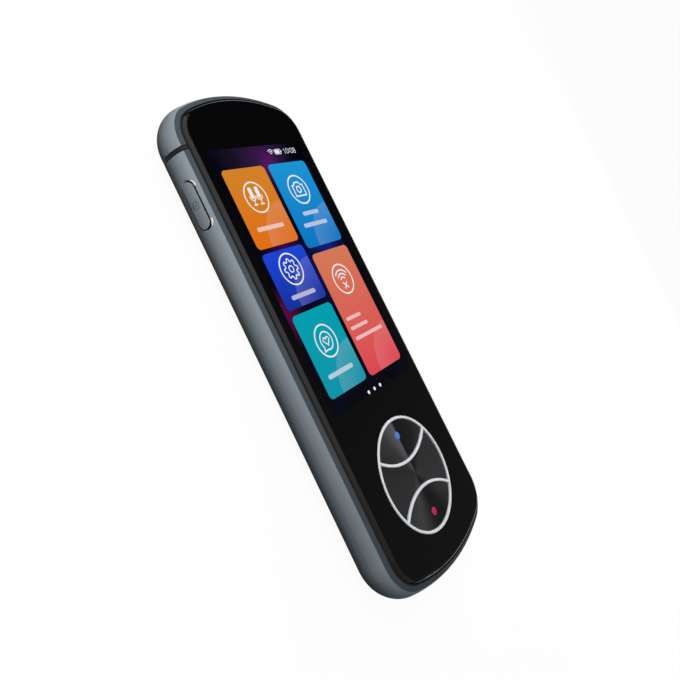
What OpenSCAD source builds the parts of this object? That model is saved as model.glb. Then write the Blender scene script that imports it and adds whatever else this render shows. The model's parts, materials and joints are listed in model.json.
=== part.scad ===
// Handheld translator: a bar-shaped housing with a glass front, a touch display and a round key pad.
// It lies on its back: +Z comes out of the display, +Y points to the top end, z = 0 is the back.
// The origin is the middle of the back. Millimetres.

/* [Glass outline] */
// Width of the front glass
glass_w = 45.1; // [43:0.1:50]
// Length of the front glass
glass_l = 122.7; // [120:0.1:132]
// Radius of the shallow curve of the top end
top_end_r = 55; // [46:1:60]
// Radius of the shallow curve of the bottom end
bottom_end_r = 57; // [42:1:60]
// Corner radius at the top end
top_corner_r = 7.5; // [7.5:0.5:12]
// Corner radius at the bottom end
bottom_corner_r = 8; // [7.5:0.5:12]

/* [Side frame] */
// Thickness from the back to the face of the glass
body_t = 11.5; // [11.3:0.1:13]
// How far the side swells past the edge of the glass
frame_bulge = 2.28; // [2:0.01:2.8]
// Depth of the widest line of the side below the face of the glass
belly_drop = 4.5; // [4.2:0.1:4.8]
// Radius of the shoulder between the widest line and the lip
shoulder_r = 6; // [5.6:0.1:6.6]
// Wall thickness of the frame
frame_wall = 1.6; // [1.4:0.1:1.8]
// Height of the glass face above the lip of the frame
lip_drop = 0.75; // [0.5:0.05:0.9]
// Slope of the bevel that runs round the lip, in degrees
lip_slope = 28.5; // [20:0.5:35]
// Gap between the glass and the lip
glass_gap = 0.27; // [0.15:0.01:0.3]
// Width of each antenna strip
strip_w = 1.2; // [0.8:0.1:2]
// Depth of the antenna strips in the metal
strip_depth = 1; // [0.6:0.1:1.2]
// Distance from the top of the glass to the middle of the antenna strips
strip_from_top = 11.7; // [11.6:0.1:14]

/* [Front glass and display] */
// Thickness of the front glass
glass_t = 1.5; // [1.3:0.1:1.7]
// Radius of the rounded rim of the front glass
glass_edge_r = 1.2; // [0.4:0.1:1.2]
// How far the black seal round the glass stands above the lip
seal_proud = 0.3; // [0:0.05:0.35]
// Thickness of the glass gasket
gasket_t = 0.4; // [0.3:0.05:0.5]
// Width of the ledge that carries the gasket
ledge_w = 1.9; // [1.5:0.1:2.1]
// Thickness of the ledge
ledge_t = 0.6; // [0.4:0.1:0.7]
// Width of the display panel
panel_w = 40.2; // [38:0.1:41]
// Thickness of the display panel
panel_t = 1.1; // [0.9:0.1:1.2]
// Distance from the top of the glass to the display panel
panel_from_top = 12.3; // [11:0.1:12.8]
// Length of the display panel
panel_l = 71.5; // [68:0.1:72]
// Thickness of the backlight tray
tray_t = 1.3; // [1.1:0.1:1.5]

/* [Key pad] */
// Outer diameter of the bright trim round the keys
pad_d = 28; // [26:0.1:29]
// Distance from the bottom of the glass to the middle of the pad
pad_from_bottom = 21.1; // [21:0.1:22.5]
// Width of the trim ring and of its two seams
trim_w = 0.75; // [0.6:0.05:1]
// Radius of the two curved seams
seam_r = 18.5; // [16:0.5:24]
// Distance from the middle of the pad to the middle of each seam
seam_offset = 3.5; // [2.6:0.1:4]
// Gap between a key and the trim
key_gap = 0.15; // [0.1:0.01:0.25]
// How far the trim stands above the glass
trim_proud = 0.1; // [0:0.05:0.2]
// Depth of the key tops below the face of the glass
key_sunk = 0.1; // [0:0.05:0.2]
// Width of the bevel round each key
key_bevel = 0.15; // [0.1:0.01:0.25]
// Rounding of the trim's upper edges
trim_round = 0.2; // [0.1:0.05:0.3]
// How far a key travels when pressed
key_travel = 0.3; // [0.2:0.05:0.35]
// Diameter of the lit dot on each talk key
light_d = 1.9; // [1.4:0.1:2.4]
// Distance from the middle of the pad to each lit dot
light_offset = 9.75; // [9:0.05:10.5]

/* [Power button] */
// Length of the power button
button_l = 11.5; // [9:0.1:12.5]
// Height of the power button
button_h = 3.3; // [2.8:0.1:3.4]
// Distance from the top of the glass to the middle of the power button
button_from_top = 24.6; // [23:0.1:30]
// Height of the middle of the button above the widest line
button_rise = 0.25; // [0:0.05:0.3]
// How far the button stands out of the side
button_proud = 0.2; // [0.1:0.05:0.4]
// Gap round the button
button_gap = 0.18; // [0.1:0.01:0.2]
// How far the button travels when pressed
button_travel = 0.3; // [0.2:0.05:0.35]
// Width of the polished bevel at the ends of the button's pocket
button_bevel = 0.35; // [0.2:0.05:0.5]

/* [Bottom end] */
// Width of the charging port's shell
port_w = 8.94; // [8.9:0.01:9.2]
// Height of the charging port's shell
port_h = 3.26; // [3.1:0.01:3.3]
// Length of the charging port's shell
port_l = 7.35; // [6.8:0.05:7.6]
// Wall of the charging port's shell
port_wall = 0.3; // [0.2:0.05:0.35]
// Diameter of the microphone holes
mic_d = 1; // [0.7:0.1:1.2]
// Distance from the centre line to each microphone hole
mic_offset = 11; // [9.5:0.1:12]

/* [Inside] */
// Thickness of the sheet chassis
chassis_t = 0.6; // [0.4:0.05:0.7]
// Height of the bosses that carry the main board
boss_h = 1.3; // [1.2:0.05:1.4]
// Thickness of the circuit boards
board_t = 0.8; // [0.6:0.05:0.9]
// Length of the main board
board_l = 52; // [50:0.5:53]
// Length of the battery
battery_l = 41; // [38:0.5:41]
// Width of the battery
battery_w = 36; // [32:0.5:36.5]
// Thickness of the battery
battery_t = 4.3; // [3.8:0.05:4.35]
// Width of the speaker box
speaker_w = 24; // [20:0.5:24.5]
// Length of the speaker box
speaker_l = 10.6; // [9:0.1:10.8]

/* [Back] */
// Thickness of the rear cover
cover_t = 1.2; // [1:0.05:1.3]
// Inset of the rear cover from the outline of the glass
cover_inset = 5.4; // [5.2:0.05:6]
// Gap round the rear cover
cover_gap = 0.15; // [0.1:0.01:0.25]
// Diameter of the camera ring
camera_ring_d = 8.6; // [8:0.1:9.4]
// Distance from the top of the glass to the camera
camera_from_top = 12.5; // [12:0.1:14]
// Distance from the camera to the flash
flash_offset = 8.5; // [8:0.1:10]
// Number of speaker slots
slot_n = 11; // [5:2:11]
// Spacing of the speaker slots
slot_pitch = 2; // [1.6:0.1:2.1]
// Length of a speaker slot
slot_l = 4.6; // [3:0.1:6]
// Width of a speaker slot
slot_w = 0.9; // [0.6:0.1:1]

/* [Hidden] */
$fn = 128;

// A small overshoot that keeps a cut clear of the face it opens
over = 1;
// Gap between inner pieces that only lie side by side
lie_gap = 0.2;

// Outline of the glass: straight sides, four corner arcs and two end arcs, all tangent.
// The turn of each corner is a round hundredth of a degree and each corner centre a round
// micrometre, so that neighbouring stretches meet exactly; the end arc takes up the rest.
function rounded(value, step) = round(value / step) * step;
function corner_turn(end_r, corner_r) =
    rounded(acos((half_w - corner_r) / (end_r - corner_r)), 0.01);
function end_arc_r(corner_r, turn) = corner_r + (half_w - corner_r) / cos(turn);
function corner_centre_y(corner_r, turn, arc_r) =
    rounded(end_y - arc_r + (arc_r - corner_r) * sin(turn), 0.001);
half_w = glass_w / 2;
end_y = glass_l / 2;
top_corner_x = half_w - top_corner_r;
bottom_corner_x = half_w - bottom_corner_r;
top_turn = corner_turn(top_end_r, top_corner_r);
bottom_turn = corner_turn(bottom_end_r, bottom_corner_r);
top_arc_r = end_arc_r(top_corner_r, top_turn);
bottom_arc_r = end_arc_r(bottom_corner_r, bottom_turn);
top_corner_y = corner_centre_y(top_corner_r, top_turn, top_arc_r);
bottom_corner_y = -corner_centre_y(bottom_corner_r, bottom_turn, bottom_arc_r);
top_centre_y = top_corner_y - (top_arc_r - top_corner_r) * sin(top_turn);
bottom_centre_y = bottom_corner_y + (bottom_arc_r - bottom_corner_r) * sin(bottom_turn);

// Heights of the layers, worked down from the face of the glass
glass_z = body_t - glass_t;
lip_z = body_t - lip_drop;
ledge_top = glass_z - gasket_t;
ledge_z = ledge_top - ledge_t;
panel_z = glass_z - panel_t;
tray_z = panel_z - tray_t;
chassis_z = tray_z - chassis_t;
rib_t = 0.6;
rib_z = chassis_z - rib_t;
board_top = chassis_z - boss_h;
board_z = board_top - board_t;

// Section of the side: u runs outwards from the edge of the glass, v is the height
belly_z = body_t - belly_drop;
shoulder_u = frame_bulge - shoulder_r;
back_r = belly_z;
back_u = frame_bulge - back_r;
deep_u = -9;
bevel_reach = 6;

// Layers at the back
cover_glue = 0.1;
cover_ledge_z = cover_t + cover_glue;
cover_ledge_t = 0.8;
cover_ledge_top = cover_ledge_z + cover_ledge_t;
cover_ledge_w = 1.35;
cover_rim_u = -cover_inset + cover_gap;
cavity_z = cover_ledge_top + lie_gap;

// Places along the body: the pad, the charging board and the speaker go by the bottom end, the
// display and the main board by the top end, and the battery lies midway between board and speaker
strip_y = end_y - strip_from_top;
button_y = end_y - button_from_top;
button_z = belly_z + button_rise;
pad_y = -end_y + pad_from_bottom;
camera_y = end_y - camera_from_top;
board_top_gap = 4.55;
board_end_y = end_y - board_top_gap;
board_start_y = board_end_y - board_l;
charge_board_l = 9.45;
charge_board_y = -end_y + charge_board_l;
speaker_clear = 0.5;
speaker_y = charge_board_y + speaker_clear + speaker_l / 2;
battery_y = (speaker_y + speaker_l / 2 + board_start_y) / 2;
battery_end_y = battery_y + battery_l / 2;
battery_r = 1.5;
battery_cap_side = 4;
battery_cap_l = 1.6;
battery_cap_t = 2.2;
battery_cap_rise = 0.3;
panel_start_y = end_y - panel_from_top;
panel_end_y = panel_start_y - panel_l;
panel_y = (panel_start_y + panel_end_y) / 2;

// Key pad
pad_r = pad_d / 2;
pad_inner_r = pad_r - trim_w;
seam_centre = seam_r + seam_offset;
trim_flange_w = 1.6;
trim_flange_t = 0.6;
trim_flange_z = glass_z - trim_flange_t;
trim_top = body_t + trim_proud;
key_board_t = 0.5;
key_board_z = chassis_z + chassis_t;
dome_r = 1.9;
dome_h = 0.25;
dome_offset = 6.6;
key_led = [1.2, 0.7, 0.25];
dome_slack = 0.05;
key_flange_w = 0.4;
key_flange_t = 0.4;
key_flange_z = key_board_z + key_board_t + dome_h + key_travel + dome_slack;
key_top = body_t - key_sunk;
seam_flange_w = 0.25;
light_fit = 0.03;

// Power button
button_flange_l = 14.4;
button_flange_h = 2.2;
button_flange_t = 0.5;
button_inner_x = half_w + frame_bulge - frame_wall - 0.33;
switch_body = [2, 4.4, 1.25];
switch_nub_l = 1.6;
switch_nub_t = 0.45;
switch_nub_h = 0.7;
switch_nub_rise = 0.3;

// Charging port and the board that carries it
charge_board_t = board_t;
port_drop = 0.14;
port_z = chassis_z - port_drop - port_h;
charge_board_z = port_z - charge_board_t;
port_sunk = 1.25;
port_gap = 0.15;
port_y = -(end_y + frame_bulge - port_sunk);
charge_board_inset = 1.6;

// Ribbon cables
ribbon_t = 0.2;
ribbon_drop = 0.05;
ribbon_z = chassis_z - ribbon_drop - ribbon_t;
display_flex_w = 12;
display_flex_gap = 1.1;
display_flex_y = panel_end_y - display_flex_gap;
socket = [11, 2.4, 0.8];
socket_y = board_start_y + 2;
link_w = 1.8;
link_x = battery_w / 2 + 0.3;
link_start_y = board_start_y + 2;
link_end_y = charge_board_y - 1;
link_socket_w = 2.2;
link_socket_l = 1.8;
link_socket_h = 0.7;
link_socket_side = 0.8;

// Camera and flash
camera_size = 7;
window_t = 0.8;
window_sunk = 0.1;
ring_fit = 0.05;
ring_flange_w = 0.7;
ring_flange_t = 0.6;
ring_wall = 1.3;
ring_seat_w = 0.45;
flash_d = 3.2;

// Screws of the main board
screw_d = 1;
screw_head_d = 2.4;
screw_head_h = 0.5;
screw_fit = 0.05;
boss_d = 3.4;
boss_from_side = 5.6;
boss_from_start = 4;
boss_from_end = 4.6;
boss_x = half_w - boss_from_side;
boss_y = [board_start_y + boss_from_start, board_end_y - boss_from_end];

// What the main board carries: distance from its start, and size
shield_h = 1.4;
processor_at = [6, 25];
processor_size = [20, 16];
radio_at = [-12, 13.6];
radio_size = [13, 14];
chip_h = 0.8;
memory_at = [-6, 22];
memory_size = [8, 8];
power_at = [6, 30];
power_size = [9, 6];
sound_at = [8, 20];
sound_size = [5, 5];
sensor_at = [-8, 33];
sensor_size = [4, 4];
chip_r = 0.2;
flash_led_h = 0.6;
flash_led_w = 2;

// Antenna carrier
carrier_shell = 1;
board_inset = 1.35;
mic_size = [3, 2.2, 1.1];
mic_from_end = 5.6;
mic_hole_l = 5;

// ---------- Shapes that repeat ----------

// Turns a section about +Z through turn degrees, from the direction start
module pie(start, turn) {
    rotate_extrude(angle = turn, start = start) children();
}

// Moves by a round amount and then by the small rest, which keeps all the digits of the place
module place(x, y) {
    round_x = rounded(x, 0.01);
    round_y = rounded(y, 0.01);
    translate([round_x, round_y]) translate([x - round_x, y - round_y]) children();
}

// Carries a section once round the outline of the glass; u = 0 lies on that outline
module around_outline() {
    for (side = [0, 1])
        mirror([side, 0, 0]) {
            translate([half_w, top_corner_y, 0])
                rotate([90, 0, 0])
                    linear_extrude(top_corner_y - bottom_corner_y) children();
            translate([top_corner_x, top_corner_y, 0])
                pie(0, top_turn) translate([top_corner_r, 0]) children();
            translate([bottom_corner_x, bottom_corner_y, 0])
                pie(-bottom_turn, bottom_turn) translate([bottom_corner_r, 0]) children();
        }
    place(0, top_centre_y)
        pie(top_turn, 180 - 2 * top_turn) place(top_arc_r, 0) children();
    place(0, bottom_centre_y)
        pie(180 + bottom_turn, 180 - 2 * bottom_turn) place(bottom_arc_r, 0) children();
}

// Points of one arc of radius r about a centre
function arc_points(centre, r, start, turn, steps) =
    [for (i = [0 : steps])
        centre + r * [cos(start + turn * i / steps), sin(start + turn * i / steps)]];

// Points of the outline of the glass, drawn in by inset
function outline_points(inset) = concat(
    arc_points([top_corner_x, top_corner_y], top_corner_r - inset, 0, top_turn, 8),
    arc_points([0, top_centre_y], top_arc_r - inset, top_turn, 180 - 2 * top_turn, 8),
    arc_points([-top_corner_x, top_corner_y], top_corner_r - inset,
               180 - top_turn, top_turn, 8),
    arc_points([-bottom_corner_x, bottom_corner_y], bottom_corner_r - inset,
               180, bottom_turn, 8),
    arc_points([0, bottom_centre_y], bottom_arc_r - inset,
               180 + bottom_turn, 180 - 2 * bottom_turn, 8),
    arc_points([bottom_corner_x, bottom_corner_y], bottom_corner_r - inset,
               -bottom_turn, bottom_turn, 8)
);

// A plate with the outline of the glass, drawn in by inset, from height z0 to z1:
// a rim with true arcs round a plain core
module slab(inset, z0, z1) {
    rim = 1;
    around_outline() translate([-inset - rim, z0]) square([rim, z1 - z0]);
    translate([0, 0, z0])
        linear_extrude(z1 - z0) polygon(outline_points(inset + rim / 2));
}

// A block with rounded upright edges, centred on X and Y, standing on z = 0
module rounded_block(w, l, h, r) {
    translate([-w / 2, -l / 2 + r, 0]) cube([w, l - 2 * r, h]);
    translate([-w / 2 + r, -l / 2, 0]) cube([w - 2 * r, l, h]);
    for (turn = [0 : 3])
        translate([(turn == 0 || turn == 3 ? 1 : -1) * (w / 2 - r),
                   (turn < 2 ? 1 : -1) * (l / 2 - r), 0])
            pie(turn * 90, 90) square([r, h]);
}

// A bar with half-round ends, l long on Y and w wide on X, wider by flare at its top
module stadium(l, w, h, flare = 0) {
    straight = l - w;
    translate([0, straight / 2, 0])
        rotate([90, 0, 0])
            linear_extrude(straight)
                polygon([[-w / 2, 0], [w / 2, 0], [w / 2 + flare, h], [-w / 2 - flare, h]]);
    for (end = [0, 180])
        rotate([0, 0, end])
            translate([0, straight / 2, 0])
                pie(0, 180) polygon([[0, 0], [w / 2, 0], [w / 2 + flare, h], [0, h]]);
}

// A box given by two opposite corners
module between(low, high) {
    translate(low) cube(high - low);
}

// A ribbon cable drawn as flat runs between points [y, z] at its lower side
module ribbon(points, x0, w) {
    for (i = [0 : len(points) - 2])
        between([x0,
                 min(points[i][0], points[i + 1][0]),
                 min(points[i][1], points[i + 1][1])],
                [x0 + w,
                 max(points[i][0], points[i + 1][0]) + ribbon_t,
                 max(points[i][1], points[i + 1][1]) + ribbon_t]);
}

// ---------- Side frame ----------

// Outer half of the section; grow moves its two arcs outwards, and lower sinks its bevel and
// raises its base
module side_section(grow = 0, lower = 0) {
    bevel_z = lip_z - lower;
    intersection() {
        translate([shoulder_u, belly_z]) circle(shoulder_r + grow);
        polygon([
            [shoulder_u, belly_z], [shoulder_u + 2 * shoulder_r, belly_z],
            [glass_gap + bevel_reach, bevel_z - bevel_reach * tan(lip_slope)],
            [glass_gap, bevel_z], [shoulder_u, bevel_z]
        ]);
    }
    translate([deep_u, belly_z]) square([shoulder_u - deep_u, bevel_z - belly_z]);
    intersection() {
        translate([back_u, belly_z]) circle(back_r + grow);
        translate([back_u, lower]) square([2 * back_r, belly_z - lower]);
    }
    translate([deep_u, lower]) square([back_u - deep_u, belly_z - lower]);
}

// Everything inside the wall: the cavity, the seat of the glass and the seat of the cover
module hollow_section() {
    intersection() {
        translate([shoulder_u, belly_z]) circle(shoulder_r - frame_wall);
        translate([shoulder_u, belly_z]) square([shoulder_r, ledge_z - belly_z]);
    }
    intersection() {
        translate([back_u, belly_z]) circle(back_r - frame_wall);
        translate([back_u, cover_ledge_top]) square([back_r, belly_z - cover_ledge_top]);
    }
    translate([deep_u - over, cover_ledge_top])
        square([back_u - deep_u + over, belly_z - cover_ledge_top]);
    translate([deep_u - over, belly_z]) square([shoulder_u - deep_u + over, ledge_z - belly_z]);
    translate([deep_u - over, ledge_z - over])
        square([-ledge_w - deep_u + over, ledge_t + 2 * over]);
    translate([deep_u - over, ledge_top]) square([glass_gap - deep_u + over, glass_t + over]);
    translate([deep_u - over, -over]) square([cover_rim_u - deep_u + over, cover_ledge_z + over]);
    translate([deep_u - over, -over])
        square([cover_rim_u - cover_ledge_w - deep_u + over, cover_ledge_top + 2 * over]);
}

// A slim rib inside the wall carries the edge of the chassis
module rib_section() {
    rib_in = -1.2;
    intersection() {
        translate([rib_in, rib_z]) square([frame_bulge - rib_in - frame_wall / 2, rib_t]);
        side_section(-frame_wall / 2);
    }
}

// The skin of the section that an antenna strip fills
module strip_section() {
    difference() {
        side_section();
        side_section(-strip_depth, strip_depth);
        translate([deep_u - over, -over]) square([cover_rim_u - deep_u + over, body_t + over]);
        translate([deep_u - over, belly_z]) square([glass_gap - deep_u + over, body_t]);
    }
}

// Places its child on the left side at the middle of the button, with +Z pointing outwards
module at_button(x) {
    translate([-x, button_y, button_z]) rotate([0, -90, 0]) children();
}

module strip_bars() {
    for (side = [0, 1])
        mirror([side, 0, 0])
            translate([half_w, strip_y + strip_w / 2, 0])
                rotate([90, 0, 0]) linear_extrude(strip_w) strip_section();
}

module side_frame() {
    belly_x = half_w + frame_bulge;
    pocket_w = button_h + 2 * button_gap;
    pocket_l = button_l + 2 * button_gap;
    slot_y = end_y + frame_bulge + over;
    color("slategray")
        difference() {
            union() {
                around_outline() {
                    difference() {
                        side_section();
                        hollow_section();
                    }
                }
                around_outline() rib_section();
            }
            strip_bars();
            at_button(half_w - over) stadium(pocket_l, pocket_w, frame_bulge + 2 * over);
            at_button(belly_x - button_bevel)
                stadium(pocket_l, pocket_w, button_bevel, button_bevel);
            between([-half_w - over, button_y - button_flange_l / 2 - lie_gap, rib_z - over],
                    [-half_w + ledge_w, button_y + button_flange_l / 2 + lie_gap,
                     button_z + button_flange_h / 2 + lie_gap]);
            in_port(-slot_y)
                stadium(port_w + 2 * port_gap, port_h + 2 * port_gap, frame_bulge + port_l / 2);
            for (side = [-1, 1])
                translate([side * mic_offset, -slot_y, port_z + port_h / 2])
                    rotate([-90, 0, 0]) cylinder(d = mic_d, h = mic_hole_l);
        }
}

module antenna_strips() {
    color("black") strip_bars();
}

// ---------- Back ----------

module rear_cover() {
    rib_w = 0.8;
    rib_h = 0.6;
    rib_pitch = 10;
    rib_from_end = 2;
    rib_l = battery_l - 2 * rib_from_end;
    color("slategray")
        difference() {
            union() {
                slab(cover_inset, 0, cover_t);
                for (x = [-rib_pitch, 0, rib_pitch])
                    translate([x - rib_w / 2, battery_y - rib_l / 2, cover_t])
                        cube([rib_w, rib_l, rib_h]);
            }
            translate([0, camera_y, -over])
                cylinder(d = camera_ring_d + 2 * ring_fit, h = cover_t + 2 * over);
            translate([flash_offset, camera_y, -over])
                cylinder(d = flash_d + 2 * ring_fit, h = cover_t + 2 * over);
            for (i = [0 : slot_n - 1])
                translate([(i - (slot_n - 1) / 2) * slot_pitch, speaker_y, -over])
                    stadium(slot_l, slot_w, cover_t + 2 * over);
        }
}

module speaker_mesh() {
    color("dimgray")
        translate([0, speaker_y, cover_t])
            rounded_block(speaker_w - 1, speaker_l - 1, 0.2, 1);
}

module camera_ring() {
    color("gainsboro")
        translate([0, camera_y, 0])
            difference() {
                union() {
                    cylinder(d = camera_ring_d, h = cover_t + ring_flange_t);
                    translate([0, 0, cover_t])
                        cylinder(d = camera_ring_d + 2 * ring_flange_w, h = ring_flange_t);
                }
                translate([0, 0, -over])
                    cylinder(d = camera_ring_d - 2 * ring_wall, h = over + window_sunk + window_t);
                translate([0, 0, -over])
                    cylinder(d = camera_ring_d - 2 * ring_wall - 2 * ring_seat_w,
                             h = cover_t + ring_flange_t + 2 * over);
            }
}

module camera_window() {
    color([0.1, 0.1, 0.14])
        translate([0, camera_y, window_sunk])
            cylinder(d = camera_ring_d - 2 * ring_wall - 2 * ring_fit, h = window_t);
}

module camera_module() {
    block_z = cover_t + ring_flange_t + ring_fit;
    barrel_d = camera_ring_d - 2 * ring_wall - 2 * ring_seat_w - 4 * ring_fit;
    barrel_z = window_sunk + window_t + ring_fit;
    color([0.15, 0.15, 0.17]) {
        translate([0, camera_y, block_z])
            rounded_block(camera_size, camera_size, chassis_z - ring_fit - block_z, 0.5);
        translate([0, camera_y, barrel_z]) cylinder(d = barrel_d, h = block_z - barrel_z);
    }
}

module flash_lens() {
    pipe_z = board_z - flash_led_h - lie_gap;
    color("ghostwhite")
        translate([flash_offset, camera_y, 0]) {
            cylinder(d = flash_d, h = cover_t);
            translate([0, 0, cover_t]) cylinder(d = flash_d - 1, h = pipe_z - cover_t);
        }
}

module flash_led() {
    color("lemonchiffon")
        translate([flash_offset, camera_y, board_z - flash_led_h])
            rounded_block(flash_led_w, flash_led_w, flash_led_h, chip_r);
}

// ---------- Front glass and display ----------

module cover_glass() {
    rim_w = 2;
    color([0.03, 0.03, 0.05])
        difference() {
            union() {
                slab(rim_w, glass_z, body_t);
                around_outline() {
                    translate([-rim_w, glass_z])
                        square([rim_w, glass_t - glass_edge_r]);
                    translate([-rim_w, body_t - glass_edge_r])
                        square([rim_w - glass_edge_r, glass_edge_r]);
                    translate([-glass_edge_r, body_t - glass_edge_r])
                        intersection() {
                            circle(glass_edge_r);
                            square(glass_edge_r);
                        }
                }
            }
            translate([0, pad_y, glass_z - over])
                cylinder(r = pad_r + key_gap, h = glass_t + 2 * over);
        }
}

// The gasket carries the glass; its seal fills the gap beside it and slopes down to the lip
module glass_gasket() {
    skin = 0.03;
    seal_top = lip_z + seal_proud;
    color("black")
        around_outline() {
            translate([-ledge_w, ledge_top]) square([ledge_w + glass_gap - skin, gasket_t]);
            polygon([[skin, glass_z], [glass_gap - skin, glass_z],
                     [glass_gap - skin, lip_z], [skin, seal_top]]);
        }
}

module display_panel() {
    color([0.08, 0.08, 0.2])
        translate([0, panel_y, panel_z]) rounded_block(panel_w, panel_l, panel_t, 0.6);
}

module backlight_tray() {
    margin = 0.2;
    color("silver")
        translate([0, panel_y, tray_z])
            rounded_block(panel_w + 2 * margin, panel_l + 2 * margin, tray_t, 0.8);
}

module display_flex() {
    flex_top = panel_z + 0.3;
    color("darkorange")
        ribbon([[panel_end_y - ribbon_t, flex_top], [display_flex_y, flex_top],
                [display_flex_y, ribbon_z], [socket_y + socket[1] / 2, ribbon_z]],
               -display_flex_w / 2, display_flex_w);
}

// ---------- Chassis and main board ----------

module chassis_plate() {
    edge_inset = 0.3;
    color("silver")
        difference() {
            union() {
                slab(edge_inset, chassis_z, chassis_z + chassis_t);
                for (x = [-boss_x, boss_x], y = boss_y)
                    translate([x, y, board_top]) cylinder(d = boss_d, h = boss_h);
            }
            for (x = [-boss_x, boss_x], y = boss_y)
                translate([x, y, board_top - over])
                    cylinder(d = screw_d + 2 * screw_fit, h = boss_h + over);
            between([-half_w - over, button_y - button_flange_l / 2 - lie_gap, chassis_z - over],
                    [-button_inner_x + button_flange_t + button_travel + lie_gap,
                     button_y + button_flange_l / 2 + lie_gap, chassis_z + chassis_t + over]);
            between([-display_flex_w / 2 - lie_gap, display_flex_y - lie_gap, chassis_z - over],
                    [display_flex_w / 2 + lie_gap, display_flex_y + ribbon_t + lie_gap,
                     chassis_z + chassis_t + over]);
        }
}

module main_board() {
    camera_hole = camera_size + 2 * lie_gap;
    color("darkgreen")
        difference() {
            slab(board_inset, board_z, board_top);
            between([-half_w, -end_y, board_z - over], [half_w, board_start_y, board_top + over]);
            between([-half_w, board_end_y, board_z - over], [half_w, end_y, board_top + over]);
            translate([0, camera_y, board_z - over])
                rounded_block(camera_hole, camera_hole, board_t + 2 * over, 0.6);
            for (x = [-boss_x, boss_x], y = boss_y)
                translate([x, y, board_z - over])
                    cylinder(d = screw_d + 4 * screw_fit, h = board_t + 2 * over);
        }
}

module board_screws() {
    color("lightgray")
        for (x = [-boss_x, boss_x], y = boss_y)
            translate([x, y, 0]) {
                translate([0, 0, board_z - screw_head_h])
                    cylinder(d = screw_head_d, h = screw_head_h);
                translate([0, 0, board_z]) cylinder(d = screw_d, h = board_t + boss_h - 0.1);
            }
}

// A block on the board: where it stands from the middle of the board's start, its size and height
module on_board(at, size, h, z) {
    translate([at[0], board_start_y + at[1], z]) rounded_block(size[0], size[1], h, chip_r);
}

module processor_shield() {
    color("lightsteelblue") on_board(processor_at, processor_size, shield_h, board_z - shield_h);
}

module radio_shield() {
    color("lightsteelblue") on_board(radio_at, radio_size, shield_h, board_z - shield_h);
}

module board_chips() {
    color("black") {
        on_board(memory_at, memory_size, chip_h, board_top);
        on_board(power_at, power_size, chip_h, board_top);
        on_board(sound_at, sound_size, chip_h, board_top);
        on_board(sensor_at, sensor_size, chip_h, board_top);
    }
}

module display_connector() {
    color("ivory")
        translate([0, socket_y, board_top])
            rounded_block(socket[0], socket[1], ribbon_z - board_top, chip_r);
}

// ---------- Battery ----------

module battery_cell() {
    color("silver")
        translate([0, battery_y, cavity_z]) {
            rounded_block(battery_w, battery_l, battery_t, battery_r);
            translate([0, battery_l / 2, battery_cap_rise])
                rounded_block(battery_w - 2 * battery_cap_side, 2 * battery_cap_l,
                              battery_cap_t, 2 * chip_r);
        }
}

module battery_lead() {
    lead_x = 8;
    lead_w = 4;
    color("firebrick")
        ribbon([[battery_end_y, board_top], [socket_y + socket[1] / 2, board_top]],
               lead_x, lead_w);
}

module battery_connector() {
    plug_x = 10;
    plug_w = 4;
    color("ivory")
        translate([plug_x, socket_y, board_top + ribbon_t])
            rounded_block(plug_w, socket[1], socket[2], chip_r);
}

// ---------- Speaker, microphones and charging port ----------

module speaker_box() {
    speaker_z = cover_t + 0.25;
    color([0.12, 0.12, 0.12])
        translate([0, speaker_y, speaker_z])
            rounded_block(speaker_w, speaker_l, rib_z - lie_gap - speaker_z, 1.2);
}

module charge_board() {
    color("darkgreen")
        difference() {
            slab(charge_board_inset, charge_board_z, charge_board_z + charge_board_t);
            between([-half_w, charge_board_y, charge_board_z - over],
                    [half_w, end_y, charge_board_z + charge_board_t + over]);
        }
    color("ivory")
        translate([link_x + link_socket_w / 2 - link_socket_side, link_end_y,
                   charge_board_z + charge_board_t])
            rounded_block(link_socket_w, link_socket_l, link_socket_h, chip_r);
}

module microphones() {
    color("gold")
        for (side = [-1, 1])
            translate([side * mic_offset, -end_y + mic_from_end,
                       charge_board_z + charge_board_t])
                rounded_block(mic_size[0], mic_size[1], mic_size[2], chip_r);
}

// Lays a bar on Y with its broad side on X, starting at y in the middle of the port
module in_port(y) {
    translate([0, y, port_z + port_h / 2])
        rotate([-90, 0, 0]) rotate([0, 0, 90]) children();
}

module usb_c_shell() {
    color("gainsboro")
        difference() {
            in_port(port_y) stadium(port_w, port_h, port_l);
            in_port(port_y - over)
                stadium(port_w - 2 * port_wall, port_h - 2 * port_wall,
                        port_l + over - port_wall);
        }
}

module usb_c_tongue() {
    tongue = [6.7, 4.4, 0.7];
    base_l = 1.6;
    base_gap = 0.05;
    base_y = port_y + port_l - port_wall - base_gap - base_l;
    color([0.1, 0.1, 0.1]) {
        translate([-tongue[0] / 2, base_y - tongue[1], port_z + (port_h - tongue[2]) / 2])
            cube([tongue[0], tongue[1] + base_l, tongue[2]]);
        in_port(base_y)
            stadium(port_w - 2 * port_wall - 2 * base_gap,
                    port_h - 2 * port_wall - 2 * base_gap, base_l);
    }
}

module link_flex() {
    socket_z = charge_board_z + charge_board_t + link_socket_h;
    color("darkorange")
        ribbon([[link_start_y, board_top], [board_start_y - 1, board_top],
                [link_end_y, board_top], [link_end_y, socket_z]],
               link_x, link_w);
}

module antenna_carrier() {
    carrier_z = board_z - shield_h;
    carrier_top = rib_z + lie_gap;
    color([0.2, 0.2, 0.22])
        difference() {
            slab(board_inset, carrier_z, carrier_top);
            between([-half_w, -end_y, carrier_z - over],
                    [half_w, board_end_y + lie_gap, carrier_top + over]);
            difference() {
                slab(board_inset + carrier_shell, carrier_z - over, carrier_top - carrier_shell);
                between([-half_w, -end_y, carrier_z - 2 * over],
                        [half_w, board_end_y + lie_gap + carrier_shell, carrier_top]);
            }
        }
}

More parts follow.
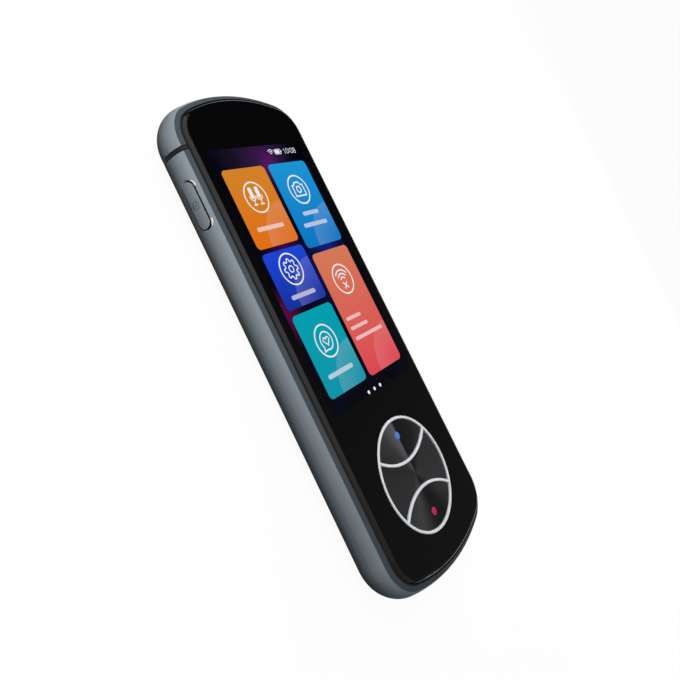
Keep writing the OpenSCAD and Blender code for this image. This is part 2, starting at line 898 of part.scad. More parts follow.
// ---------- Power button ----------

module power_button() {
    cap_depth = half_w + frame_bulge + button_proud - button_inner_x;
    color("slategray") {
        intersection() {
            at_button(button_inner_x) stadium(button_l, button_h, cap_depth + over);
            translate([-half_w, button_y + button_l, 0])
                mirror([1, 0, 0])
                    rotate([90, 0, 0]) linear_extrude(2 * button_l) side_section(button_proud);
        }
        between([-button_inner_x, button_y - button_flange_l / 2,
                 button_z - button_flange_h / 2],
                [-button_inner_x + button_flange_t, button_y + button_flange_l / 2,
                 button_z + button_flange_h / 2]);
    }
}

module power_switch() {
    nub_x = -button_inner_x + button_flange_t + button_travel + dome_slack;
    color("gainsboro") {
        translate([nub_x + switch_nub_t, button_y - switch_body[1] / 2, board_top])
            cube(switch_body);
        translate([nub_x, button_y - switch_nub_l / 2, board_top + switch_nub_rise])
            cube([switch_nub_t, switch_nub_l, switch_nub_h]);
    }
}

// ---------- Key pad ----------

// A disc from height z0 to z1 whose upper edge is drawn in by bevel, or flared out where
// bevel is negative
module disc(r, z0, z1, bevel = 0) {
    edge = abs(bevel);
    translate([0, 0, z0]) cylinder(r = r, h = z1 - z0 - edge);
    if (edge > 0)
        translate([0, 0, z1 - edge]) cylinder(r1 = r, r2 = r - bevel, h = edge);
}

// Moves to the centre of the upper (1) or lower (-1) seam
module at_seam(side) {
    translate([0, pad_y + side * seam_centre, 0]) children();
}

module at_pad() {
    translate([0, pad_y, 0]) children();
}

// Upright section of the trim about radius r: square below, rounded at both upper edges
module trim_section(r) {
    half = trim_w / 2;
    translate([r - half, trim_flange_z])
        square([trim_w, trim_top - trim_round - trim_flange_z]);
    translate([r - half + trim_round, trim_top - trim_round])
        square([trim_w - 2 * trim_round, trim_round]);
    for (side = [0, 1])
        translate([r, trim_top - trim_round])
            mirror([side, 0])
                translate([half - trim_round, 0])
                    intersection() {
                        circle(trim_round);
                        square(trim_round);
                    }
}

module key_trim() {
    color("gainsboro") {
        at_pad() rotate_extrude() trim_section(pad_r - trim_w / 2);
        at_pad()
            difference() {
                disc(pad_r + trim_flange_w, trim_flange_z, glass_z);
                disc(pad_inner_r + trim_w / 2, trim_flange_z - over, glass_z + over);
            }
        for (side = [-1, 1])
            intersection() {
                at_seam(side) rotate_extrude() trim_section(seam_r);
                at_pad() disc(pad_inner_r + trim_w / 2, trim_flange_z - over, trim_top + over);
            }
    }
}

// The lens-shaped talk key between the trim ring and one seam
module talk_key(side) {
    flange_top = key_flange_z + key_flange_t;
    lens_r = seam_r - trim_w / 2 - key_gap;
    difference() {
        union() {
            intersection() {
                at_pad() disc(pad_inner_r - key_gap, key_flange_z, key_top, key_bevel);
                at_seam(side) disc(lens_r, key_flange_z, key_top, key_bevel);
            }
            intersection() {
                at_pad() disc(pad_inner_r + key_flange_w, key_flange_z, flange_top);
                at_seam(side) disc(lens_r + seam_flange_w, key_flange_z, flange_top);
            }
        }
        translate([0, pad_y + side * light_offset, key_flange_z - over])
            cylinder(d = light_d + 2 * light_fit, h = body_t);
    }
}

module talk_light(side) {
    translate([0, pad_y + side * light_offset, key_flange_z])
        cylinder(d = light_d, h = key_top - key_flange_z);
}

module key_upper() {
    color([0.2, 0.2, 0.22]) talk_key(1);
}

module light_upper() {
    color("royalblue") talk_light(1);
}

module key_lower() {
    color([0.2, 0.2, 0.22]) talk_key(-1);
}

module light_lower() {
    color("crimson") talk_light(-1);
}

// The waisted key between the two seams
module key_middle() {
    flange_top = key_flange_z + key_flange_t;
    waist_r = seam_r + trim_w / 2 + key_gap;
    color([0.2, 0.2, 0.22]) {
        difference() {
            at_pad() disc(pad_inner_r - key_gap, key_flange_z, key_top, key_bevel);
            for (side = [-1, 1])
                at_seam(side) {
                    disc(waist_r, key_flange_z - over, key_top, -key_bevel);
                    disc(waist_r + key_bevel, key_top, key_top + over);
                }
        }
        difference() {
            at_pad() disc(pad_inner_r + key_flange_w, key_flange_z, flange_top);
            for (side = [-1, 1])
                at_seam(side)
                    disc(waist_r - seam_flange_w, key_flange_z - over, flange_top + over);
        }
    }
}

module key_board() {
    color("darkgreen")
        at_pad() disc(pad_inner_r + key_flange_w, key_board_z, key_board_z + key_board_t);
}

module key_domes() {
    color("gold")
        for (y = [-dome_offset, 0, dome_offset])
            translate([0, pad_y + y, key_board_z + key_board_t])
                cylinder(r1 = dome_r, r2 = dome_r / 2, h = dome_h);
}

module key_leds() {
    color("ivory")
        for (side = [-1, 1])
            translate([-key_led[0] / 2, pad_y + side * light_offset - key_led[1] / 2,
                       key_board_z + key_board_t])
                cube(key_led);
}

side_frame();
antenna_strips();
rear_cover();
cover_glass();
glass_gasket();
display_panel();
backlight_tray();
display_flex();
chassis_plate();
main_board();
processor_shield();
radio_shield();
board_chips();
display_connector();
battery_connector();
board_screws();
antenna_carrier();
battery_cell();
battery_lead();
speaker_box();
speaker_mesh();
camera_module();
camera_ring();
camera_window();
flash_led();
flash_lens();
charge_board();
usb_c_shell();
usb_c_tongue();
microphones();
link_flex();
power_switch();
power_button();
key_trim();
key_board();
key_domes();
key_leds();
key_upper();
light_upper();
key_lower();
light_lower();
key_middle();
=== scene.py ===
"""The looks of the handheld translator: finishes, the picture on its display, studio and camera.

Places and sizes are in millimetres in the frame of the part, and become metres where a mesh is
made: +Z comes out of the display, +Y points to the top end, z = 0 is the back.
"""

import json
import math

import bmesh
import bpy
from mathutils import Matrix, Vector
from mathutils.bvhtree import BVHTree


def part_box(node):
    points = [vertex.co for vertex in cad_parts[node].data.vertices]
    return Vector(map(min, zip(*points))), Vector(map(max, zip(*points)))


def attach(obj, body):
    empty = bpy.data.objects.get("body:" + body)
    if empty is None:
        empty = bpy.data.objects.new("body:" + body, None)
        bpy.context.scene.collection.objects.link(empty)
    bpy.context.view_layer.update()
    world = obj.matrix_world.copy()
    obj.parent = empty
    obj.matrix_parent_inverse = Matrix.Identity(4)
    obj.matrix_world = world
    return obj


MM = 0.001

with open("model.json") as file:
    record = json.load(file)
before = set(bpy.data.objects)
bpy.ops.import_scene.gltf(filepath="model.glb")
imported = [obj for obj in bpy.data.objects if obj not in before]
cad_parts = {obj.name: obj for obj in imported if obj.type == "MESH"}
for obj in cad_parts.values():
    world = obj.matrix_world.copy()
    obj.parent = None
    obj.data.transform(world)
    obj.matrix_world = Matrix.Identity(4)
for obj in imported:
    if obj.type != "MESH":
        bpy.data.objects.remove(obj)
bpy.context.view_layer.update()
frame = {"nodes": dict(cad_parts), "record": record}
nodes = frame["nodes"]


# ---------- Measures, in millimetres ----------

def box_mm(name):
    low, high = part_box(name)
    return low / MM, high / MM


# Taken from the frame
GLASS_TOP = box_mm("cover_glass")[1].z
TRIM_LOW, TRIM_HIGH = box_mm("key_trim")
PAD_CENTRE = (TRIM_LOW + TRIM_HIGH) / 2
BUTTON_LOW, BUTTON_HIGH = box_mm("power_button")
BUTTON_CENTRE = (BUTTON_LOW + BUTTON_HIGH) / 2
CAP_HEIGHT = BUTTON_HIGH.z - BUTTON_LOW.z
STRIP_LOW, STRIP_HIGH = box_mm("antenna_strips")
STRIP_CENTRE = (STRIP_LOW + STRIP_HIGH) / 2

# What the frame's boxes don't tell: the foot of the bevel round the lip and how far its painted
# shade fades, the length of the button's cap, and the gap and bevel of its pocket
BEVEL_FOOT = 10.14
BEVEL_FADE = 0.01
CAP_LENGTH = 11.5
POCKET_GAP = 0.18
POCKET_BEVEL = 0.35

# The two painted glints on the upper corners of the pocket's rim, pale paint in place of its
# highlights: how far their middle line lies from the rim, how wide they are, how far they fade,
# and from what height over the button's middle
GLINT_SHIFT = -0.15
GLINT_WIDTH = 0.5
GLINT_FADE = 0.05
GLINT_LOW, GLINT_FULL = 1.45, 1.55

# Painted shade of the gap on the button cap's flanks begins this far inside its outline
FLANK_START, FLANK_FULL = 0.05, 0.02

# Width of the dark seam on both sides of an antenna strip, and how far it fades
STRIP_SEAM = 0.25
STRIP_FADE = 0.1


# ---------- Colours ----------

def linear(*levels):
    """A colour as it looks on a screen, 0 to 255, in the renderer's linear values."""
    shares = [level / 255 for level in levels]
    return tuple(s / 12.92 if s <= 0.04045 else ((s + 0.055) / 1.055) ** 2.4 for s in shares)


def opaque(colour):
    return (*colour, 1.0)


def lighter(colour, share):
    """The colour moved towards white by a share."""
    return tuple(c + (1 - c) * share for c in colour)


SLATE = linear(156, 167, 175)
# Painted shade of the gap on the flanks of the button's cap
PAINTED_GAP_SHADE = linear(14, 16, 18)
# Pale paint of the painted glints at the button's pocket
PAINTED_GLINT = linear(250, 252, 253)
# Painted shade on the bevel round the lip, in place of its dark reflection
PAINTED_LIP_SHADE = (0.2, 0.21, 0.22)
LIT_WHITE = linear(236, 238, 240)
BLACK = (0.0, 0.0, 0.0)
PURE_WHITE = (1.0, 1.0, 1.0)


# ---------- Materials ----------

# The values between which nearly all of a noise lies, and a narrower choice of them
NOISE_RANGE = (0.3, 0.7)
NARROW_RANGE = (0.35, 0.65)

# Share of the fine grain in a finish, and how far its roughness strays
GRAIN_SHARE = 0.7
ROUGHNESS_SPREAD = 0.04


def add(tree, kind, inputs=None, **settings):
    """Adds a node; an input is a value or the socket that feeds it."""
    made = tree.nodes.new(kind)
    for key, value in settings.items():
        setattr(made, key, value)
    for key, value in (inputs or {}).items():
        if isinstance(value, bpy.types.NodeSocket):
            tree.links.new(value, made.inputs[key])
        else:
            made.inputs[key].default_value = value
    return made


def math_node(tree, operation, first, second=0.0):
    return add(tree, "ShaderNodeMath", {0: first, 1: second}, operation=operation).outputs[0]


def vector_node(tree, operation, inputs, output="Vector"):
    return add(tree, "ShaderNodeVectorMath", inputs, operation=operation).outputs[output]


def blend_colours(tree, share, first, second, blend="MIX"):
    made = add(tree, "ShaderNodeMix", {"Factor": share}, data_type="RGBA", blend_type=blend)
    for socket, value in ((made.inputs[6], first), (made.inputs[7], second)):
        if isinstance(value, bpy.types.NodeSocket):
            tree.links.new(value, socket)
        else:
            socket.default_value = opaque(value)
    return made.outputs[2]


def between(tree, value, low, high, to_low=0.0, to_high=1.0, smooth=False):
    return add(
        tree, "ShaderNodeMapRange",
        {"Value": value, "From Min": low, "From Max": high, "To Min": to_low, "To Max": to_high},
        interpolation_type="SMOOTHSTEP" if smooth else "LINEAR",
    ).outputs["Result"]


def place_mm(tree):
    """The place of a point on the part, in millimetres."""
    place = add(tree, "ShaderNodeTexCoord").outputs["Object"]
    return vector_node(tree, "SCALE", {0: place, "Scale": 1 / MM})


def noise(tree, place, size, detail=3.0, stretch=(1, 1, 1)):
    """Noise whose features are about size millimetres across, longer where stretch is large."""
    scaled = vector_node(
        tree, "MULTIPLY", {0: place, 1: tuple(1 / (size * s) for s in stretch)}
    )
    return add(
        tree, "ShaderNodeTexNoise", {"Vector": scaled, "Scale": 1.0, "Detail": detail}
    ).outputs["Fac"]


def shader(name, **constants):
    """A material with its principled shader; constants go straight to the shader's sockets."""
    material = bpy.data.materials.new(name)
    material.use_nodes = True
    tree = material.node_tree
    surface = tree.nodes["Principled BSDF"]
    for key, value in constants.items():
        surface.inputs[key.replace("_", " ")].default_value = value
    return material, tree, surface


def bump(tree, surface, height, depth):
    """Raises the surface by height, from 0 to 1, times depth in millimetres."""
    made = add(
        tree, "ShaderNodeBump", {"Height": height, "Strength": 1.0, "Distance": depth * MM}
    )
    tree.links.new(made.outputs["Normal"], surface.inputs["Normal"])


def satin(name, colour, roughness, metallic, grain, tone=0.06, depth=0.001, patch=9.0,
          stretch=(1, 1, 1), **constants):
    """A finish with fine grain, slow changes of tone and roughness that follow one another."""
    material, tree, surface = shader(name, Metallic=metallic, **constants)
    place = place_mm(tree)
    fine = noise(tree, place, grain, 4.0, stretch)
    slow = noise(tree, place, patch, 2.0)
    mottle = math_node(tree, "ADD", math_node(tree, "MULTIPLY", fine, GRAIN_SHARE),
                       math_node(tree, "MULTIPLY", slow, 1 - GRAIN_SHARE))
    dark = tuple(c * (1 - tone) for c in colour)
    bright = tuple(min(1.0, c * (1 + tone)) for c in colour)
    spread = between(tree, mottle, *NARROW_RANGE)
    tree.links.new(blend_colours(tree, spread, dark, bright), surface.inputs["Base Color"])
    tree.links.new(
        between(tree, slow, *NOISE_RANGE, roughness - ROUGHNESS_SPREAD,
                roughness + ROUGHNESS_SPREAD),
        surface.inputs["Roughness"],
    )
    bump(tree, surface, fine, depth)
    return material


def repainted(material, paint_over):
    """The material with its colour passed through paint_over, which takes tree and colour."""
    tree = material.node_tree
    socket = tree.nodes["Principled BSDF"].inputs["Base Color"]
    tree.links.new(paint_over(tree, socket.links[0].from_socket), socket)
    return material


def button_ways(tree, place):
    """From the button's middle line: past its straight part, up, and straight away from it."""
    split = add(tree, "ShaderNodeSeparateXYZ", {0: place})
    along = math_node(
        tree, "ABSOLUTE", math_node(tree, "SUBTRACT", split.outputs["Y"], BUTTON_CENTRE.y)
    )
    straight = (CAP_LENGTH - CAP_HEIGHT) / 2
    past = math_node(tree, "MAXIMUM", math_node(tree, "SUBTRACT", along, straight), 0.0)
    up = math_node(tree, "SUBTRACT", split.outputs["Z"], BUTTON_CENTRE.z)
    flat = add(tree, "ShaderNodeCombineXYZ", {"X": past, "Y": up}).outputs[0]
    return past, up, vector_node(tree, "LENGTH", {0: flat}, "Value")


def pocket_painted_glints(tree, place):
    """1 on the painted glints at the upper corners of the pocket's rim, on the left side."""
    past, up, away = button_ways(tree, place)
    middle = CAP_HEIGHT / 2 + POCKET_GAP + POCKET_BEVEL + GLINT_SHIFT
    off = math_node(tree, "ABSOLUTE", math_node(tree, "SUBTRACT", away, middle))
    band = between(tree, off, GLINT_WIDTH / 2 - GLINT_FADE, GLINT_WIDTH / 2, 1.0, 0.0)
    end = between(tree, past, 0.0, GLINT_FADE)
    top = between(tree, up, GLINT_LOW, GLINT_FULL)
    left = between(
        tree, add(tree, "ShaderNodeSeparateXYZ", {0: place}).outputs["X"], 0.0, -1.0
    )
    return math_node(
        tree, "MULTIPLY", math_node(tree, "MULTIPLY", band, left),
        math_node(tree, "MULTIPLY", end, top),
    )


def anodised_frame(name, **satin_settings):
    """Satin anodised metal; painted shade on the lip's bevel, painted glints by the button."""
    def paint_over(tree, colour):
        place = place_mm(tree)
        height = add(tree, "ShaderNodeSeparateXYZ", {0: place}).outputs["Z"]
        lip = between(tree, height, BEVEL_FOOT - BEVEL_FADE, BEVEL_FOOT + BEVEL_FADE)
        # Painted shade on the bevel round the lip
        shade = blend_colours(tree, lip, PURE_WHITE, PAINTED_LIP_SHADE)
        colour = blend_colours(tree, 1.0, colour, shade, blend="MULTIPLY")
        # Painted glints on the pocket's rim
        return blend_colours(tree, pocket_painted_glints(tree, place), colour, PAINTED_GLINT)

    return repainted(satin(name, SLATE, **satin_settings), paint_over)


def anodised_button(name, **satin_settings):
    """The frame's finish on the face of the cap; painted gap shade on its flanks, painted glints.
    """
    def paint_over(tree, colour):
        place = place_mm(tree)
        away = button_ways(tree, place)[2]
        half = CAP_HEIGHT / 2
        flank = between(tree, away, half - FLANK_START, half - FLANK_FULL)
        # Painted shade of the gap on the cap's flanks
        colour = blend_colours(tree, flank, colour, PAINTED_GAP_SHADE)
        # Painted glints on the pocket's rim
        return blend_colours(tree, pocket_painted_glints(tree, place), colour, PAINTED_GLINT)

    return repainted(satin(name, SLATE, **satin_settings), paint_over)


def strip_plastic(name, colour, edge_colour, **satin_settings):
    """Moulded antenna strip, darker where it meets the metal on both sides."""
    def paint_over(tree, colour):
        along = add(tree, "ShaderNodeSeparateXYZ", {0: place_mm(tree)}).outputs["Y"]
        off = math_node(tree, "ABSOLUTE", math_node(tree, "SUBTRACT", along, STRIP_CENTRE.y))
        start = (STRIP_HIGH.y - STRIP_LOW.y) / 2 - STRIP_SEAM
        seam = between(tree, off, start - STRIP_FADE, start)
        return blend_colours(tree, seam, colour, edge_colour)

    return repainted(satin(name, colour, **satin_settings), paint_over)


def polished_glass(name, colour, specular):
    """Black-printed glass: nearly even, with the faint waviness and dust of a handled face."""
    material, tree, surface = shader(name, Specular_IOR_Level=specular, IOR=1.5)
    place = place_mm(tree)
    smear = noise(tree, place, 14.0, 3.0, (1, 2.5, 1))
    dust = noise(tree, place, 0.25, 2.0)
    dusty = blend_colours(tree, between(tree, dust, 0.6, 0.8), colour, lighter(colour, 0.004))
    tree.links.new(dusty, surface.inputs["Base Color"])
    tree.links.new(between(tree, smear, 0.35, 0.7, 0.03, 0.07), surface.inputs["Roughness"])
    bump(tree, surface, smear, 0.002)
    return material


def spun_metal():
    """Dark metal turned about the pad's middle: fine circular grain and painted highlight wedges.
    """
    material, tree, surface = shader(
        "spun_dark_metal", Metallic=0.35, Anisotropic=0.6, Specular_IOR_Level=0.35
    )
    from_centre = vector_node(tree, "SUBTRACT", {0: place_mm(tree), 1: tuple(PAD_CENTRE)})
    split = add(tree, "ShaderNodeSeparateXYZ", {0: from_centre})
    x, y = split.outputs["X"], split.outputs["Y"]
    flat = add(tree, "ShaderNodeCombineXYZ", {"X": x, "Y": y}).outputs[0]
    radius = vector_node(tree, "LENGTH", {0: flat}, "Value")
    turn = between(tree, math_node(tree, "ARCTAN2", y, x), -math.pi, math.pi)
    # Highlights of the spun metal, painted into its colour by direction
    highlight_wedges = add(tree, "ShaderNodeValToRGB", {"Fac": turn})
    stops = highlight_wedges.color_ramp.elements
    while len(stops) < len(SPUN_HIGHLIGHT_STOPS):
        stops.new(0.5)
    for element, (degrees, level) in zip(stops, SPUN_HIGHLIGHT_STOPS):
        element.position = (degrees + 180) / 360
        element.color = opaque(linear(level, level, level + 2))
    rings = add(
        tree, "ShaderNodeTexNoise",
        {"W": math_node(tree, "MULTIPLY", radius, GROOVES_PER_MM), "Scale": 1.0, "Detail": 3.0},
        noise_dimensions="1D",
    ).outputs["Fac"]
    grooves = between(tree, rings, *NOISE_RANGE, 1 - GROOVE_CONTRAST, 1 + GROOVE_CONTRAST)
    toned = vector_node(tree, "SCALE", {0: highlight_wedges.outputs["Color"], "Scale": grooves})
    tree.links.new(toned, surface.inputs["Base Color"])
    tree.links.new(between(tree, rings, *NOISE_RANGE, 0.3, 0.42), surface.inputs["Roughness"])
    along = vector_node(tree, "CROSS_PRODUCT", {0: flat, 1: (0, 0, 1)})
    tree.links.new(vector_node(tree, "NORMALIZE", {0: along}), surface.inputs["Tangent"])
    bump(tree, surface, rings, 0.002)
    return material


GROOVES_PER_MM = 14.0
GROOVE_CONTRAST = 0.18

# Level, 0 to 255, of the highlights painted on the spun metal at each direction from the middle
# of the pad, in degrees
SPUN_HIGHLIGHT_STOPS = (
    (-180, 52), (-150, 50), (-122, 68), (-100, 34), (-88, 22), (-66, 30), (-38, 58),
    (0, 54), (28, 50), (56, 26), (88, 20), (91, 96), (118, 58), (150, 44), (180, 52),
)


def lit_dot(name, colour):
    """A moulded light pipe, cloudy where the plastic spreads the light of the diode below."""
    material, tree, surface = shader(
        name, Base_Color=opaque(BLACK), Roughness=0.25, Emission_Strength=1.0
    )
    place = place_mm(tree)
    cloud = noise(tree, place, 0.5, 2.0)
    dim = tuple(c * 0.6 for c in colour)
    shine = blend_colours(tree, between(tree, cloud, *NOISE_RANGE), dim, lighter(colour, 0.02))
    tree.links.new(shine, surface.inputs["Emission Color"])
    bump(tree, surface, cloud, 0.004)
    return material


def away_from(tree, place, x, y):
    """The distance from a point of the face, in millimetres."""
    return vector_node(tree, "DISTANCE", {0: place, 1: (x, y, GLASS_TOP)}, "Value")


def screen_shader(name):
    """Glass over a lit picture; the picture's colour goes to the emission."""
    return shader(
        name, Base_Color=opaque(BLACK), Roughness=0.05, Specular_IOR_Level=0.25,
        Emission_Strength=1.0,
    )


PIXEL = 0.12


def lit_colour(name, colour, spread=0.05):
    """An even lit colour of the picture, with the slight mottle of the panel's pixels."""
    material, tree, surface = screen_shader(name)
    pixels = noise(tree, place_mm(tree), PIXEL, 1.0)
    dim = tuple(c * (1 - spread) for c in colour)
    shine = blend_colours(
        tree, between(tree, pixels, *NOISE_RANGE), dim, lighter(colour, spread)
    )
    tree.links.new(shine, surface.inputs["Emission Color"])
    return material


def night_sky():
    """The picture behind the tiles: near-black blue with a violet haze and faint stars."""
    material, tree, surface = screen_shader("picture_night_sky")
    place = place_mm(tree)
    clouds = noise(tree, place, 9.0, 4.0)
    colour = blend_colours(
        tree, between(tree, clouds, 0.35, 0.7), linear(2, 3, 9), linear(5, 7, 24)
    )
    for centre, radius, shade in SKY_GLOWS:
        near = between(
            tree, away_from(tree, place, *centre), 0.0, radius, 1.0, 0.0, smooth=True
        )
        haze = math_node(
            tree, "MULTIPLY", near, between(tree, clouds, 0.25, 0.7, 0.5, 1.1)
        )
        colour = blend_colours(tree, haze, colour, shade)
    stars = add(
        tree, "ShaderNodeTexVoronoi", {"Vector": place, "Scale": 0.7}
    ).outputs["Distance"]
    spark = math_node(
        tree, "MULTIPLY", between(tree, stars, 0.05, 0.1, 0.35, 0.0),
        between(tree, noise(tree, place, 2.0, 0.0), 0.5, 0.62),
    )
    colour = blend_colours(tree, spark, colour, linear(120, 130, 200))
    tree.links.new(colour, surface.inputs["Emission Color"])
    return material


# Haze of the picture: centre, radius, colour
SKY_GLOWS = (
    ((-3.0, 45.3), 19.0, linear(34, 24, 48)),
    ((1.5, 45.3), 12.0, linear(62, 26, 84)),
    ((2.0, 42.6), 5.0, linear(90, 20, 100)),
    ((-19.0, 5.8), 9.0, linear(84, 12, 66)),
    ((9.0, 18.3), 9.0, linear(14, 40, 130)),
    ((0.0, 11.8), 14.0, linear(12, 16, 74)),
    ((-8.0, 21.5), 9.0, linear(60, 12, 74)),
)


def tile_paint(name, top, bottom, box, disc_radius):
    """A tile's colour from its top to its bottom, with a lighter disc about its lower corner."""
    material, tree, surface = screen_shader(name)
    place = place_mm(tree)
    _, y0, x1, y1 = box
    along = add(tree, "ShaderNodeSeparateXYZ", {0: place}).outputs["Y"]
    colour = blend_colours(tree, between(tree, along, y0, y1), bottom, top)
    away = away_from(tree, place, x1, y0)
    disc = math_node(
        tree, "MULTIPLY", between(tree, away, disc_radius * 0.2, disc_radius, 0.01, 0.06),
        between(tree, away, disc_radius, disc_radius + 0.25, 1.0, 0.0),
    )
    colour = blend_colours(tree, disc, colour, PURE_WHITE)
    pixels = noise(tree, place, PIXEL, 1.0)
    colour = blend_colours(tree, between(tree, pixels, *NOISE_RANGE, 0.0, 0.05), colour, BLACK)
    tree.links.new(colour, surface.inputs["Emission Color"])
    return material


# ---------- Flat shapes, in millimetres ----------

def at(centre, points):
    """The points moved by centre."""
    return [(centre[0] + x, centre[1] + y) for x, y in points]


def polar(radius, degrees):
    angle = math.radians(degrees)
    return radius * math.cos(angle), radius * math.sin(angle)


def arc(centre, radius, start, end, steps=24):
    """Points of an arc from start to end, in degrees."""
    turns = [start + (end - start) * i / steps for i in range(steps + 1)]
    return at(centre, [polar(radius, turn) for turn in turns])


def rounded_box(x0, y0, x1, y1, r):
    """The outline of a box with corners of radius r."""
    corners = ((x1 - r, y0 + r, -90), (x1 - r, y1 - r, 0), (x0 + r, y1 - r, 90),
               (x0 + r, y0 + r, 180))
    return [p for x, y, start in corners for p in arc((x, y), r, start, start + 90, 8)]


def ring_points(centre, radius, steps=64):
    """Points of a full circle."""
    return arc(centre, radius, 0, 360, steps)[:-1]


SHARPEST_MITRE = 0.5


def offsets(points, half, closed):
    """The two lines that run half to the left and half to the right of a line of points."""
    count = len(points)
    left, right = [], []
    for i, (x, y) in enumerate(points):
        before = points[i - 1] if closed or i else None
        after = points[(i + 1) % count] if closed or i < count - 1 else None
        steps = [
            Vector((b[0] - a[0], b[1] - a[1])).normalized()
            for a, b in ((before, (x, y)), ((x, y), after)) if a and b
        ]
        along = sum(steps, Vector((0, 0))).normalized()
        mitre = half / max(SHARPEST_MITRE, along.dot(steps[0]))
        across = Vector((-along.y, along.x)) * mitre
        left.append((x + across.x, y + across.y))
        right.append((x - across.x, y - across.y))
    return left, right


def line_outline(points, width):
    """The outline of a line with round ends."""
    left, right = offsets(points, width / 2, closed=False)

    def cap(end, before):
        heading = math.degrees(math.atan2(end[1] - before[1], end[0] - before[0]))
        return arc(end, width / 2, heading + 90, heading - 90, 8)[1:-1]

    return left + cap(points[-1], points[-2]) + right[::-1] + cap(points[0], points[1])


# ---------- Thin inlays ----------

def solid_between(mesh, low, high, outline):
    """A closed solid over an outline; low and high give its places for each point."""
    lower = [mesh.verts.new(Vector(low(p)) * MM) for p in outline]
    upper = [mesh.verts.new(Vector(high(p)) * MM) for p in outline]
    mesh.faces.new(upper)
    mesh.faces.new(lower[::-1])
    for i in range(len(outline)):
        j = (i + 1) % len(outline)
        mesh.faces.new((lower[i], lower[j], upper[j], upper[i]))


def hoop_between(mesh, low, high, outer, inner):
    """A closed solid over the band between two outlines with as many points each."""
    rows = [
        [mesh.verts.new(Vector(lift(p)) * MM) for p in outline]
        for lift, outline in ((low, outer), (high, outer), (high, inner), (low, inner))
    ]
    for i in range(len(outer)):
        j = (i + 1) % len(outer)
        for a, b in zip(rows, rows[1:] + rows[:1]):
            mesh.faces.new((a[i], a[j], b[j], b[i]))


class Drawing:
    """Flat shapes laid on a surface and made into one thin piece.

    low and high turn a flat point into its place at the bottom and at the top of the piece.
    """

    def __init__(self, low, high):
        self.mesh = bmesh.new()
        self.low = low
        self.high = high

    def area(self, outline):
        solid_between(self.mesh, self.low, self.high, outline)

    def line(self, points, width):
        self.area(line_outline(points, width))

    def loop(self, points, width):
        outer, inner = offsets(points, width / 2, closed=True)
        hoop_between(self.mesh, self.low, self.high, outer, inner)

    def piece(self, name, material, slot, body="housing"):
        bmesh.ops.recalc_face_normals(self.mesh, faces=self.mesh.faces)
        data = bpy.data.meshes.new(name)
        self.mesh.to_mesh(data)
        self.mesh.free()
        data.materials.append(material)
        made = bpy.data.objects.new(name, data)
        bpy.context.scene.collection.objects.link(made)
        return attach(made, body)


# How far the layers of the picture stand out of the glass, and how deep they start in it
PICTURE_LEVEL = 0.004
TILE_LEVEL = 0.012
ICON_LEVEL = 0.020
INLAY_BASE = -0.02


def face_drawing(level):
    """A drawing on the face of the glass whose top lies level millimetres above it."""
    return Drawing(
        lambda p: (p[0], p[1], GLASS_TOP + INLAY_BASE),
        lambda p: (p[0], p[1], GLASS_TOP + level),
    )


# ---------- Icons of the tiles, about their middle ----------

RING_LINE = 0.4
BOLD_LINE = 0.38
MIDDLE_LINE = 0.34
THIN_LINE = 0.3


def draw_voices(drawing, centre):
    """Two microphones side by side."""
    for side in (-1.25, 1.25):
        drawing.area(at(centre, rounded_box(side - 0.66, -0.3, side + 0.66, 2.75, 0.65)))
        drawing.line(at(centre, arc((side, 0.35), 1.05, 180, 360, 16)), THIN_LINE)
        drawing.line(at(centre, [(side, -0.7), (side, -1.75)]), THIN_LINE)
        drawing.line(at(centre, [(side - 0.55, -1.85), (side + 0.55, -1.85)]), RING_LINE)


def draw_camera(drawing, centre):
    """A camera's body and lens."""
    right = [(2.2, -1.75), (2.2, 1.25), (1.4, 1.25), (0.9, 2.0)]
    body = right + [(-x, y) for x, y in reversed(right)]
    drawing.loop(at(centre, body), RING_LINE)
    drawing.loop(ring_points(centre, 0.85, 32), BOLD_LINE)


def draw_gear(drawing, centre):
    """A gear with eight soft teeth."""
    def reach(degrees):
        return 2.25 + 0.38 * math.tanh(1.5 * math.cos(math.radians(8 * degrees)))

    drawing.loop(at(centre, [polar(reach(d), d) for d in range(0, 360, 3)]), MIDDLE_LINE)
    drawing.loop(ring_points(centre, 0.8, 32), 0.32)


def draw_network(drawing, centre):
    """Radio arcs with a cross below them."""
    for radius in (1.3, 2.3, 3.3):
        drawing.line(at(centre, arc((0, -0.9), radius, 42, 138, 16)), BOLD_LINE)
    for lean in (-1, 1):
        drawing.line(at(centre, [(-0.75 * lean, -2.5), (0.75 * lean, -1.0)]), BOLD_LINE)


HEART_SCALE = 0.07


def heart_point(degrees):
    turn = math.radians(degrees)
    x = 16 * math.sin(turn) ** 3
    y = 13 * math.cos(turn) - 5 * math.cos(2 * turn) - 2 * math.cos(3 * turn) - math.cos(4 * turn)
    return HEART_SCALE * x, HEART_SCALE * y


def draw_favourite(drawing, centre):
    """A heart in a round speech bubble."""
    tail = [(-2.15, -2.25)]
    drawing.loop(at(centre, arc((0, 0), 2.2, -110, 215, 40) + tail), MIDDLE_LINE)
    drawing.loop(at(centre, [heart_point(t) for t in range(0, 360, 10)]), THIN_LINE)


# ---------- The picture on the display ----------

DISPLAY = (-18.7, -18.75, 18.7, 47.75)
DISPLAY_CORNER = 0.4
TILE_CORNER = 1.3
DISC_RADIUS = 10.7
ICON_RADIUS = 3.95

